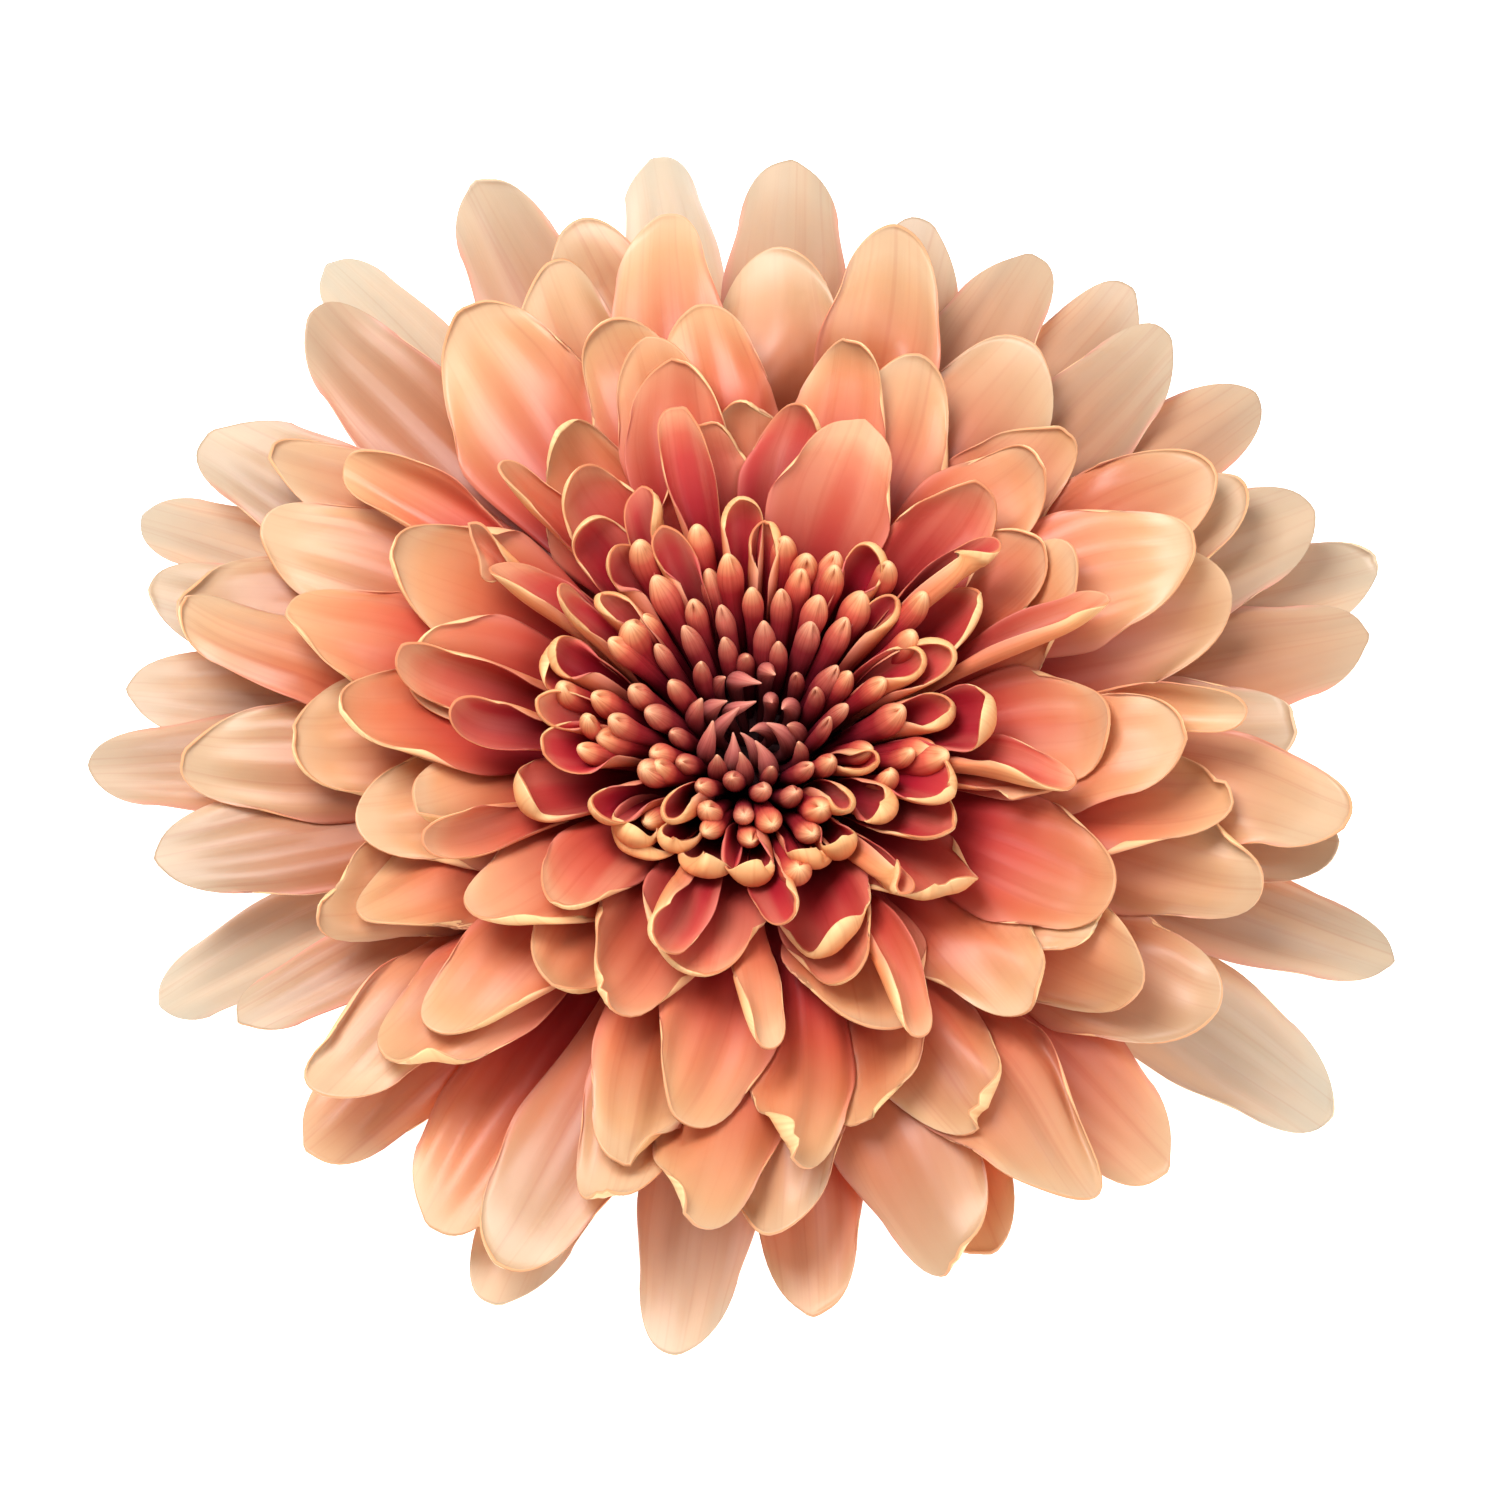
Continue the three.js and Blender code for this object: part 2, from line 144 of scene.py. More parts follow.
# Underside: two rows of bracts, and profiles of radius and height
BRACT_ROWS = [
    {"count": 13, "root": (6.2, 7.6), "tip": (13.4, 8.0), "width": 3.6, "bow": 6, "turn": 0},
    {"count": 17, "root": (10.2, 9.4), "tip": (17.4, 10.0), "width": 4.2, "bow": 6, "turn": 9},
]
STALK_PROFILE = [
    [0, 0.3], [2.2, 0.3], [3.3, 0.0], [3.7, 0.4], [3.7, 7.0], [4.4, 8.2], [7.5, 9.6], [11, 10.4],
    [11.6, 11.5], [8, 12.5], [0, 13.4],
]
CALYX_PROFILE = [
    [4.1, 6.0], [9, 7.7], [14, 10.6], [11.95, 11.3], [11.3, 10.05], [7.6, 9.2], [4.1, 7.0], [4.1, 6.0],
]
HEART_PROFILE = [
    [0, 13.6], [7.6, 13.0], [11.8, 12.2], [13.0, 14.0], [11.0, 17.0], [8.0, 17.0], [5.0, 15.2], [0, 14.6],
]
SPIN_STEPS = 64
SHARP_EDGE = 50

# Blanks: columns, rows and thickness of each kind of petal, and the share of the thickness that is
# left at its edge; sides and rings of the quills; how closely rows and rings crowd towards the tip
BLANKS = {
    "calyx": (8, 12, 0.7),
    "centre_cups": (20, 32, 0.32),
    "inner_petals": (22, 36, 0.34),
    "outer_petals": (22, 36, 0.38),
    "guard_petals": (20, 36, 0.42),
}
EDGE_THICKNESS = 0.25
PETAL_CROWDING = 1.45
QUILL_SIDES = 36
QUILL_RINGS = 28
QUILL_CROWDING = 1.4

# Bending: steps along a midrib, the end of the neck and the stretch of the taper as shares of the
# length, how deep the taper is, the longest rounded tip, how full its curve is and the width of its nip
STATIONS = 96
NECK_END = 0.08
TAPER = (0.76, 0.24)
TAPER_DEPTH = 0.2
LONGEST_TIP = 0.36
TIP_FULLNESS = 0.97
NIP_WIDTH = 0.16

# Rolling: the share of the length where the middle's roll is reached, the tightest and the least roll
# in radians, how quickly the margin waves, the ridges across and the stretch where these fade out
HALFWAY = 0.5
TIGHTEST_ROLL = 3.0
LEAST_ROLL = 0.01
WAVES = 8
RIDGES = 3
RIDGES_END = (0.82, 0.18)

# Lips: the least distance from the rim that counts, how squarely tip and side meet, and the share of
# the length over which a lip grows
NEAREST_RIM = 0.02
CORNER = 3
LIP_GROWTH = 0.3

# Tucking in: pitch and number of the cells that hold the heights, the height where nothing is above,
# how steeply the cover rises away from a floret and over how many cells, the gap left under it, the
# stretch of a floret where the pressing starts, the shares that even it out, and how low a petal may lie
COVER_PITCH = 0.6
COVER_CELLS = 270
COVER_OPEN = 90.0
COVER_SLOPE = 1.2
COVER_REACH = 4
COVER_GAP = 0.35
PRESSED_FROM = (0.25, 0.2)
EVENING = (0.1, 0.2, 0.4, 0.2, 0.1)
LOWEST = 0.3

# Points nearer than this become one: at a quill's far end, and where a spun piece closes
QUILL_MERGE = 0.02
SPUN_MERGE = 0.01

# The mouth of a cup, measured from its tip inwards, outwards and to the side, where no quill may stand
MOUTH_INWARDS = -4.8
MOUTH_OUTWARDS = 0.6
MOUTH_ASIDE = 1.45

# Seeds of the draws, the number of each draw, and the numbers where the guards and the bracts start
SEEDS = (12.9898, 78.233, 43758.5453)
DRAWS = {
    "bearing": 1, "reach": 2, "height": 3, "bow": 4, "width": 5, "hook": 6, "middle_roll": 7,
    "tip_roll": 8, "twist": 9, "bend": 10, "phase": 11, "lop": 12, "luck": 13, "more_twist": 14,
    "side": 15, "lip_width": 18, "sideways": 19, "open_mouth": 21, "lipped": 22, "lip_turn": 23,
    "lip_curl": 24, "ridge": 25, "point": 26, "skew": 27, "fold": 28, "nip": 29, "seam_place": 30,
    "mouth_depth": 31, "mouth_place": 32, "girth": 33, "dome": 34, "bulb": 35, "seam_turn": 36,
    "lip_spread": 37, "mouth_length": 38, "seam_length": 39, "rim": 40, "curls_up": 41, "curl_twist": 42,
}
FIRST_GUARD = 1000
FIRST_BRACT = 2000

stem_low, stem_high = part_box("stem")
AXIS = (stem_low + stem_high) / 2

# Studio: the camera stands at the photo's angle. Places and sizes here are in metres
LOOK_AT = Vector((AXIS.x - 0.0002, AXIS.y + 0.0002, 0.014))
CAMERA_ELEVATION = 68
CAMERA_DISTANCE = 0.572
CAMERA_LENS = 150
CAMERA_SENSOR = 36
LIGHTS = [
    {"name": "key", "place": (-0.14, 0.09, 0.42), "size": 0.22, "power": 2.35},
    {"name": "fill", "place": (0.30, -0.16, 0.32), "size": 0.34, "power": 0.9},
]
ROOM_LIGHT = 0.52
FLOOR_GLOW = 0.9
FLOOR_SIZE = 4

# Petal flesh: how far red, green and blue light sink in, as shares of its depth
FLESH_SHARES = (1.0, 0.7, 0.54)
FLESH_DEPTH = 0.65

# Colours from the root to the tip: upper faces. The deep wine towards the root is partly the florets' own
# colour and partly painted shade of the depths between them
INNER_FACE = [
    (0.0, "#440410"), (0.5, "#720c1c"), (0.7, "#9e1a2a"), (0.85, "#bc3a3c"), (0.93, "#cc604e"),
    (1.0, "#de926e"),
]
OUTER_FACE = [
    (0.0, "#5c0c1a"), (0.4, "#962028"), (0.52, "#b23632"), (0.64, "#c0523c"), (0.78, "#c4724c"),
    (0.93, "#ca966a"), (1.0, "#cea882"),
]
GUARD_FACE = [
    (0.0, "#802420"), (0.35, "#a03e2a"), (0.55, "#a85e3a"), (0.75, "#a87454"), (0.9, "#aa8a6e"),
    (1.0, "#b0977c"),
]
CREAM_FACE = [(0.0, "#9c765e"), (0.4, "#ac9074"), (0.75, "#b4a088"), (1.0, "#bcae98")]

# Under faces, and the band along their rims
INNER_BACK = [(0.0, "#4c0c14"), (0.5, "#8a2a28"), (0.74, "#bc6040"), (0.88, "#d88c58"), (1.0, "#ecb67c")]
OUTER_BACK = [(0.0, "#a84c3c"), (0.5, "#cc7454"), (0.8, "#de9060"), (0.92, "#eaaa72"), (1.0, "#f2c892")]
CREAM_BACK = [(0.0, "#c0a078"), (0.5, "#dcc09a"), (1.0, "#ead4b4")]
BACK_RIM = [(0.5, "#c8604c"), (0.7, "#dc8c74"), (0.86, "#ecb088"), (1.0, "#f6cc94")]

# The thin edge between the faces
ROSE_MARGIN = [(0.0, "#5a0c14"), (0.6, "#922a2a"), (0.9, "#bc5040"), (1.0, "#cc7850")]
PEACH_MARGIN = [(0.0, "#a04038"), (0.6, "#c05c48"), (0.9, "#d08060"), (1.0, "#dca074")]
GUARD_MARGIN = [(0.0, "#c48a68"), (0.6, "#d29a78"), (1.0, "#dcb492")]

# Quills, from the claws at the heart outwards. Their near-black roots are partly the florets' own wine
# colour and partly painted shade where they crowd together
CLAW_SKIN = [(0.0, "#2c060e"), (0.5, "#843a3c"), (0.8, "#c47068"), (1.0, "#dc9480")]
DUSKY_SKIN = [(0.0, "#20030a"), (0.5, "#560e1c"), (0.74, "#902c32"), (0.88, "#c06454"), (1.0, "#e8ac88")]
TAN_SKIN = [
    (0.0, "#20030a"), (0.54, "#600a1a"), (0.76, "#a0262c"), (0.88, "#cc5c48"), (0.95, "#e49a6c"),
    (1.0, "#f6c492"),
]

# Which of a petal's finishes its under face and its margin take, after that of the upper face
BACK = 1
MARGIN = 2


def draw(i, feature):
    """Seeded draw from 0 to 1 for one feature of floret i"""
    value = math.sin(i * SEEDS[0] + DRAWS[feature] * SEEDS[1]) * SEEDS[2]
    return value - math.floor(value)


def spread(i, feature):
    """The same draw, from -1 to 1"""
    return 2 * draw(i, feature) - 1


def smooth(x):
    """0 below 0, 1 above 1, and a soft slope between"""
    x = np.clip(x, 0, 1)
    return x * x * (3 - 2 * x)


def rise(x, start, length):
    """Soft slope from 0 at the start of a stretch to 1 at its end"""
    return smooth((x - start) / length)


def hump(x, middle, width):
    """1 in the middle, dying away on both sides"""
    return np.exp(-((x - middle) / width) ** 2)


class Floret(SimpleNamespace):
    """Where a floret stands and how it is bent. What isn't named is plain, as it is here"""

    pale = 0.0
    skew = 0.0
    nip = 0.0
    hook = 0.0
    fold = 1.0
    lip_width = 0.0
    lip_turn = 1.0
    lip_curl = 1.0
    lip_bearing = 0.0
    lip_spread = 1.0
    lip_from = 1.0
    opening = 0.5
    twist = 0.0
    bend = 0.0
    phase = 0.0
    lop = 0.0


def form_at(share):
    """The row of FORM that holds at this share of the radius"""
    return [float(np.interp(share, FORM[:, 0], FORM[:, column])) for column in range(1, FORM.shape[1])]


def ruled_floret(i):
    """Floret i of the rule, counted from the axis outwards. How flat, cupped and loose it is comes from
    its share of the radius; those in front, towards the viewer, have more and broader lips"""
    share = math.sqrt((i + 0.5) / BLOOM_FLORETS)
    reach, height, width, bow, hook, root_roll, middle_roll, tip_roll = form_at(share)
    flat = rise(share, *LIE_FLAT)
    cupped = 1 - rise(share, *CUPS_OPEN)
    loose = rise(share, *LOOSEN)
    side = 1 if draw(i, "side") < 0.5 else -1
    sideways = draw(i, "sideways")
    bearing = math.radians(i * GOLDEN_ANGLE + (6.5 + 2 * loose) * spread(i, "bearing"))
    front = 0.5 - 0.5 * math.sin(bearing)
    lipped = smooth((draw(i, "lipped") - 0.42 + 0.4 * front) / 0.3) * (1 - 0.5 * flat * (1 - front))
    room = 0.15 + 0.4 * front + (0.85 - 0.4 * front) * flat
    lip_width = (0.8 + 2.0 * draw(i, "lip_width")) * lipped * room
    floret = Floret(
        number=i,
        share=share,
        hue=share,
        give=0.2 + 0.8 * rise(share, *GIVE_WAY),
        luck=draw(i, "luck"),
        bearing=bearing,
        root=(RECEPTACLE_RADIUS * share, ROOT_HEIGHT - ROOT_DROP * share * share),
        tip=(
            reach * (1 + (0.08 + 0.03 * loose) * spread(i, "reach")),
            height + (1.0 + 0.8 * flat) * spread(i, "height"),
        ),
        width=width * (1 + (0.12 + 0.12 * flat) * spread(i, "width")),
        neck=0.34,
        swell=0.7,
        point=1.15 + 0.25 * flat + 0.25 * spread(i, "point"),
        skew=0.35 * spread(i, "skew"),
        nip=(0.1 + (0.4 - 0.2 * flat) * draw(i, "nip")) * (1 - lipped),
        bow=math.radians(bow * (1 + 0.25 * spread(i, "bow"))),
        hook=math.radians(hook * (1 + 0.5 * spread(i, "hook"))),
        fold=4.6 + 2.4 * draw(i, "fold") + 1.5 * flat,
        lip_width=lip_width + cupped * (0.4 + 0.7 * draw(i, "rim")),
        lip_turn=math.radians(90 + 70 * draw(i, "lip_turn")),
        lip_curl=0.7 + 0.35 * draw(i, "lip_curl"),
        lip_bearing=side * math.radians(8 + 72 * sideways * (0.35 + 0.65 * flat)),
        lip_spread=math.radians(30 + 22 * draw(i, "lip_spread") + 40 * cupped),
        lip_from=0.62 - 0.3 * sideways,
        rolls=(
            root_roll,
            middle_roll * (1 + 0.06 * spread(i, "middle_roll")) + 0.45 * flat * spread(i, "middle_roll"),
            tip_roll * (1 + 0.12 * spread(i, "tip_roll")) + 0.3 * flat * spread(i, "tip_roll"),
        ),
        opening=0.5 + 0.24 * cupped,
        side=side,
        twist=math.radians(
            (22 + 22 * smooth(2 * draw(i, "more_twist") - 1)) * spread(i, "twist") * (0.5 + flat)
        ),
        bend=math.radians((14 + 4 * loose) * spread(i, "bend") * (0.5 + flat)),
        ridge=(0.008 + 0.015 * draw(i, "ridge")) * flat,
        wave=0.07 * flat,
        phase=2 * math.pi * draw(i, "phase"),
        lop=0.25 * spread(i, "lop"),
    )
    if share > RIMS_FROM and floret.lip_width < 0.6:
        turn_up_the_rim(floret)
    if RIMS_FROM < share < CURLS_TO and draw(i, "curls_up") < 0.34 - 0.12 * flat:
        curl_up(floret)
    return floret


def turn_up_the_rim(floret):
    """A narrow pale rim, turned up all round the tip"""
    floret.lip_width = 0.5 + 0.4 * draw(floret.number, "rim")
    floret.lip_curl = 0.4
    floret.lip_turn = math.radians(100)
    floret.lip_bearing = floret.side * math.radians(20)
    floret.lip_spread = math.radians(65)
    floret.lip_from = 0.5


def curl_up(floret):
    """Makes a floret one of the narrow ones that stay rolled lengthwise and twist"""
    reach, height = floret.tip
    floret.width *= 0.7
    floret.rolls = (2.4, 2.2, 1.6)
    floret.hook *= 0.6
    floret.twist = floret.side * math.radians(35 + 25 * draw(floret.number, "curl_twist"))
    floret.lip_width *= 0.5
    floret.tip = (reach * 1.05, height + 1.8)


def guard_floret(n, bearing, reach, height, width):
    """Guard n. Low guards are paler. Those at the back are made paler still and those in front take the
    outer florets' warmer, darker colours, as painted light and painted shade for how the lamps fall on them
    """
    i = FIRST_GUARD + n
    side = 1 if draw(i, "side") < 0.5 else -1
    behind_for_painted_light = math.sin(math.radians(bearing))
    return Floret(
        share=1.0,
        # Painted shade: guards in front take the outer florets' warmer, darker colours
        hue=1 - 0.24 * max(0, -behind_for_painted_light),
        give=1.0,
        luck=draw(i, "luck"),
        # Low guards are paler in their own colour; guards at the back are made paler as painted light
        pale=min(1.0, smooth((GUARD_PALE_BELOW - height) / GUARD_PALE_WITHIN) + 0.15 * max(0, behind_for_painted_light)),
        bearing=math.radians(bearing),
        root=(RECEPTACLE_RADIUS, GUARD_ROOT_HEIGHT),
        tip=(reach, height),
        width=width,
        neck=0.32,
        swell=0.6,
        point=1.4 + 0.25 * spread(i, "point"),
        skew=0.3 * spread(i, "skew"),
        nip=0.1 + 0.3 * draw(i, "nip"),
        bow=math.radians(GUARD_BOW + GUARD_DROOP * (GUARD_ROOT_HEIGHT - height)),
        hook=math.radians(14 + 14 * spread(i, "hook")),
        fold=8.0,
        lip_width=1.6 * draw(i, "lip_width") * rise(draw(i, "lipped"), 0.5, 0.3),
        lip_turn=math.radians(60 + 60 * draw(i, "lip_turn")),
        lip_curl=0.8,
        lip_bearing=side * math.radians(40 * draw(i, "sideways")),
        lip_spread=math.radians(40),
        lip_from=0.7,
        rolls=(1.4, -0.3 + 0.4 * spread(i, "middle_roll"), -0.1 + 0.3 * spread(i, "tip_roll")),
        twist=math.radians(9 * spread(i, "twist")),
        bend=math.radians(5 * spread(i, "bend")),
        ridge=0.012 + 0.016 * draw(i, "ridge"),
        wave=0.05,
        phase=2 * math.pi * draw(i, "phase"),
        lop=0.15 * spread(i, "lop"),
    )


def bract(n, row, bearing):
    """Bract n, which is bent like a floret but short, stiff and pointed"""
    i = FIRST_BRACT + n
    return Floret(
        share=0.5,
        hue=0.5,
        give=0.2,
        luck=draw(i, "luck"),
        bearing=math.radians(bearing + 2 * spread(i, "bearing")),
        root=row["root"],
        tip=row["tip"],
        width=row["width"] * (1 + 0.08 * spread(i, "width")),
        neck=0.7,
        swell=0.5,
        point=1.8,
        bow=math.radians(row["bow"]),
        rolls=(0.6, 0.5, 0.35),
        ridge=0.02,
        wave=0.02,
    )


def path_of(floret):
    """Places and directions along the midrib: it arches by the bow, and its last part turns up"""
    (root_radius, root_height), (reach, height) = floret.root, floret.tip
    run, climb = reach - root_radius, height - root_height
    length = math.hypot(run, climb) * floret.bow / math.sin(floret.bow)
    s = np.linspace(0, 1, STATIONS + 1)
    turn = smooth(((s - 1) * length + floret.fold) / floret.fold)
    lift = math.atan2(climb, run) + floret.bow * (1 - 2 * s) + floret.hook * turn
    swing = floret.bend * s ** 2
    ahead = np.stack([np.cos(lift) * np.cos(swing), np.cos(lift) * np.sin(swing), np.sin(lift)], -1)
    place = np.zeros_like(ahead)
    place[1:] = np.cumsum((ahead[1:] + ahead[:-1]) / 2 * length / STATIONS, 0)
    return place, lift, swing, length


def carried(floret, s, across, over, turned):
    """Carries points that lie across and over the midrib to their station on its path"""
    place, lift, swing, length = path_of(floret)
    station = np.clip(s, 0, 1) * STATIONS
    low = np.minimum(station.astype(int), STATIONS - 1)
    part = station - low
    here = place[low] * (1 - part)[..., None] + place[low + 1] * part[..., None]
    a = lift[low] * (1 - part) + lift[low + 1] * part
    b = swing[low] * (1 - part) + swing[low + 1] * part
    beyond = (s - np.clip(s, 0, 1)) * length
    ahead = np.stack([np.cos(a) * np.cos(b), np.cos(a) * np.sin(b), np.sin(a)], -1)
    up = np.stack([-np.sin(a) * np.cos(b), -np.sin(a) * np.sin(b), np.cos(a)], -1)
    aside = np.stack([-np.sin(b), np.cos(b), 0 * b], -1)
    cos, sin = np.cos(turned)[..., None], np.sin(turned)[..., None]
    here = here + beyond[..., None] * ahead
    here = here + (aside * cos + up * sin) * across[..., None] + (up * cos - aside * sin) * over[..., None]
    return about_axis(floret, here)


def about_axis(floret, here):
    """Turns places in the floret's own upright plane to its bearing about the bloom's axis, in metres"""
    out = here[..., 0] + floret.root[0]
    height = here[..., 2] + floret.root[1]
    cos, sin = math.cos(floret.bearing), math.sin(floret.bearing)
    x = AXIS.x + MM * (out * cos - here[..., 1] * sin)
    y = AXIS.y + MM * (out * sin + here[..., 1] * cos)
    return np.stack([x, y, MM * height], -1)


def lipped(floret, u, s, end, slope, half, length):
    """The rim turned over: how far each point moves across and back along the blank, and how high.
    The lip is widest at its own bearing round the tip and dies away on both sides"""
    lean = np.arctan(np.abs(slope))
    to_tip = np.maximum((end - s) * length * np.cos(lean), NEAREST_RIM)
    to_side = np.maximum((1 - np.abs(u)) * half, NEAREST_RIM)
    to_rim = (to_tip ** -CORNER + to_side ** -CORNER) ** (-1 / CORNER)
    tip_share = to_tip ** -CORNER * to_rim ** CORNER
    bearing = (tip_share * lean + (1 - tip_share) * math.pi / 2) * np.sign(u)
    width = floret.lip_width * hump(bearing, floret.lip_bearing, floret.lip_spread)
    width = width * rise(s, floret.lip_from, LIP_GROWTH)
    rolled = np.maximum(width - to_rim, 0)
    angle = np.minimum(rolled / floret.lip_curl, floret.lip_turn)
    rest = np.maximum(rolled - floret.lip_curl * floret.lip_turn, 0)
    back = rolled - floret.lip_curl * np.sin(angle) - rest * np.cos(angle)
    high = floret.lip_curl * (1 - np.cos(angle)) + rest * np.sin(angle)
    return np.sin(bearing) * back, np.cos(bearing) * back, high


def cross_section(floret, u, t, half):
    """How far each point lies across and over the midrib once the sides are rolled in, and the tilt there"""
    root_roll, middle_roll, tip_roll = floret.rolls
    roll = np.where(
        t < HALFWAY,
        root_roll + (middle_roll - root_roll) * smooth(t / HALFWAY),
        middle_roll + (tip_roll - middle_roll) * rise(t, floret.opening, 1 - floret.opening),
    )
    roll = np.minimum(roll * (1 + floret.lop * u), TIGHTEST_ROLL)
    roll = np.where(np.abs(roll) < LEAST_ROLL, LEAST_ROLL, roll)
    angle = roll * u
    across = np.sin(angle) / roll * half
    over = (1 - np.cos(angle)) / roll * half
    over += floret.wave * half * u ** 2 * np.sin(WAVES * t + floret.phase + u)
    fading = smooth(3 * t) * (1 - rise(t, *RIDGES_END))
    ridges = np.cos(RIDGES * np.pi * (u + 0.12 * np.sin(floret.phase)))
    over += floret.ridge * floret.width * ridges * fading
    return across, over, angle


def petal_places(floret, u, t):
    """Places of a blank's points once it is bent into a floret; u runs from -1 to 1 across the blank
    and t from 0 to 1 along it"""
    length = path_of(floret)[3]
    half = floret.width / 2
    swell = floret.neck + (1 - floret.neck) * rise(t, NECK_END, floret.swell)
    half = half * swell * (1 - TAPER_DEPTH * rise(t, *TAPER))
    rounding = min(floret.width / 2 * floret.point / length, LONGEST_TIP)
    skewed = np.clip(u + floret.skew * (1 - u ** 2), -1, 1)
    curve = np.sqrt(1 - TIP_FULLNESS * skewed ** 2)
    end = 1 - rounding * (1 - curve) + floret.nip / length * hump(u, 0.3 * floret.skew, NIP_WIDTH)
    slope = TIP_FULLNESS * skewed / curve * rounding * length / (floret.width / 2)
    s = t - (1 - end) * t ** 3
    sideways, back, high = lipped(floret, u, s, end, slope, half, length)
    across, over, tilt = cross_section(floret, u - sideways / half, t, half)
    across = across - high * np.sin(tilt)
    over = over + high * np.cos(tilt)
    return carried(floret, s - back / length, across, over, floret.twist * s)


def quill_places(floret, turn, t):
    """A floret rolled into a tube: a finger with a small mouth near its tip, or near the axis a claw"""
    i = floret.number
    claw = 1 - rise(floret.share, *CLAWS_END)
    floret.bend = math.radians(40 * claw + (16 + 10 * claw) * spread(i, "bend"))
    length = path_of(floret)[3]
    girth = floret.width / (2 * math.pi) * (1.0 + 0.16 * spread(i, "girth"))
    end = min(LONGEST_TIP, (2.3 + 0.5 * spread(i, "dome")) * girth / length)
    from_end = np.clip((t - (1 - end)) / end, 0, 1)
    dome = np.sqrt(np.clip(1 - from_end ** (2 - 0.6 * claw), 0, 1))
    bulb = (0.22 + 0.08 * spread(i, "bulb")) * (1 - 0.7 * claw)
    grown = smooth(t / 0.7)
    swell = 0.48 + 0.3 * grown + bulb * hump(t, 0.84, 0.13) + 0.12 * claw * grown
    taper = 1 - claw * 0.6 * rise(t, 0.62, 0.38)
    radius = girth * swell * taper * dome
    angle = np.sign(turn) * math.pi * (np.abs(turn) / math.pi) ** 1.6
    off_centre = angle - 0.5 * spread(i, "seam_place")
    near_tip = (t - (0.955 - 0.02 * draw(i, "mouth_place"))) * length
    mouth_length = 0.35 + 0.4 * draw(i, "mouth_length")
    mouth = np.exp(-(off_centre / 0.34) ** 2 - (near_tip / mouth_length) ** 2)
    seam = np.exp(-(off_centre / 0.1) ** 2) * smooth((t - 0.78 - 0.2 * draw(i, "seam_length")) / 0.08)
    lip = np.exp(-((np.abs(off_centre) - 0.6) / 0.3) ** 2 - (near_tip / 1.3) ** 2)
    depth = smooth(draw(i, "mouth_depth") * 1.6)
    radius = radius * (1 - 0.75 * depth * mouth - 0.16 * seam + 0.12 * depth * lip)
    turned = angle + 0.9 * spread(i, "seam_turn")
    flattened = 1 - 0.14 * (1 - claw)
    return carried(floret, t, radius * np.sin(turned), radius * np.cos(turned) * flattened, floret.twist * t)


class Cover:
    """Height of the lowest floret above each spot, so that the next floret out stays under it"""

    def __init__(self):
        self.height = np.full((COVER_CELLS, COVER_CELLS), COVER_OPEN)

    def spots(self, places):
        """The cells over which places lie, with their fractions"""
        centre = np.array([AXIS.x, AXIS.y])
        spots = (places[..., :2] - centre) / (MM * COVER_PITCH) + COVER_CELLS / 2
        return np.clip(spots, 1, COVER_CELLS - 2)

    def over(self, places):
        """Height of the cover over each place"""
        spots = self.spots(places)
        low = spots.astype(int)
        part = spots - low
        x, y = low[..., 0], low[..., 1]
        near = self.height[x, y] * (1 - part[..., 1]) + self.height[x, y + 1] * part[..., 1]
        far = self.height[x + 1, y] * (1 - part[..., 1]) + self.height[x + 1, y + 1] * part[..., 1]
        return near * (1 - part[..., 0]) + far * part[..., 0]

    def add(self, places, slope):
        """Lowers the cover to a floret, and round it as steeply as the slope says"""
        spots = self.spots(places).astype(int).reshape(-1, 2)
        heights = places[..., 2].ravel() / MM
        for x in (-1, 0, 1):
            for y in (-1, 0, 1):
                np.minimum.at(self.height, (spots[:, 0] + x, spots[:, 1] + y), heights)
        for _ in range(COVER_REACH):
            for axis in (0, 1):
                for way in (1, -1):
                    beside = np.roll(self.height, way, axis) + slope * COVER_PITCH
                    self.height = np.minimum(self.height, beside)


def evened(field):
    """Each value evened out with those round it on the blank"""
    reach = len(EVENING) // 2
    for axis in (0, 1):
        edges = [(reach, reach) if n == axis else (0, 0) for n in (0, 1)]
        padded = np.pad(field, edges, "edge")
        parts = [np.take(padded, np.arange(k, k + field.shape[axis]), axis) for k in range(len(EVENING))]
        field = sum(share * part for share, part in zip(EVENING, parts))
    return field


def tucked(floret, places, t, cover, shape):
    """Presses a floret down where it would cut into those above it, the steep inner ones less"""
    ceiling = cover.over(places) - COVER_GAP
    press = np.maximum(places[:, 2] / MM - ceiling, 0) * rise(t, *PRESSED_FROM) * floret.give
    press = press.reshape(shape)
    press = np.maximum(press, evened(evened(press)))
    lower = places.copy()
    lower[:, 2] -= MM * press.ravel()
    lower[:, 2] = np.maximum(lower[:, 2], LOWEST * MM)
    cover.add(lower, COVER_SLOPE * (2.4 - 1.4 * rise(floret.share, *GIVE_WAY)))
    return lower


def points_of(mesh):
    """Places of a mesh's points, one row each"""
    flat = np.empty(len(mesh.vertices) * 3, np.float64)
    mesh.vertices.foreach_get("co", flat)
    return flat.reshape(-1, 3)


def chart(mesh, across, along):
    """Gives a blank its maps: petal holds how far across and along each point lies, and floret and tone
    are filled in once it is known which floret it becomes"""
    while mesh.uv_layers:
        mesh.uv_layers.remove(mesh.uv_layers[0])
    for name in ("petal", "floret", "tone"):
        mesh.uv_layers.new(name=name)
    corners = np.empty(len(mesh.loops), np.int32)
    mesh.loops.foreach_get("vertex_index", corners)
    pairs = np.stack([across[corners], along[corners]], 1)
    mesh.uv_layers["petal"].data.foreach_set("uv", pairs.astype(np.float32).ravel())


def mark(mesh, floret):
    """Writes on a copy which floret it is, for the finishes to read"""
    # For the guards, hue and pale also carry painted shade in front and painted light at the back
    for name, pair in (("floret", (floret.hue, floret.luck)), ("tone", (floret.pale, 0.0))):
        pairs = np.tile(pair, len(mesh.loops)).astype(np.float32)
        mesh.uv_layers[name].data.foreach_set("uv", pairs)


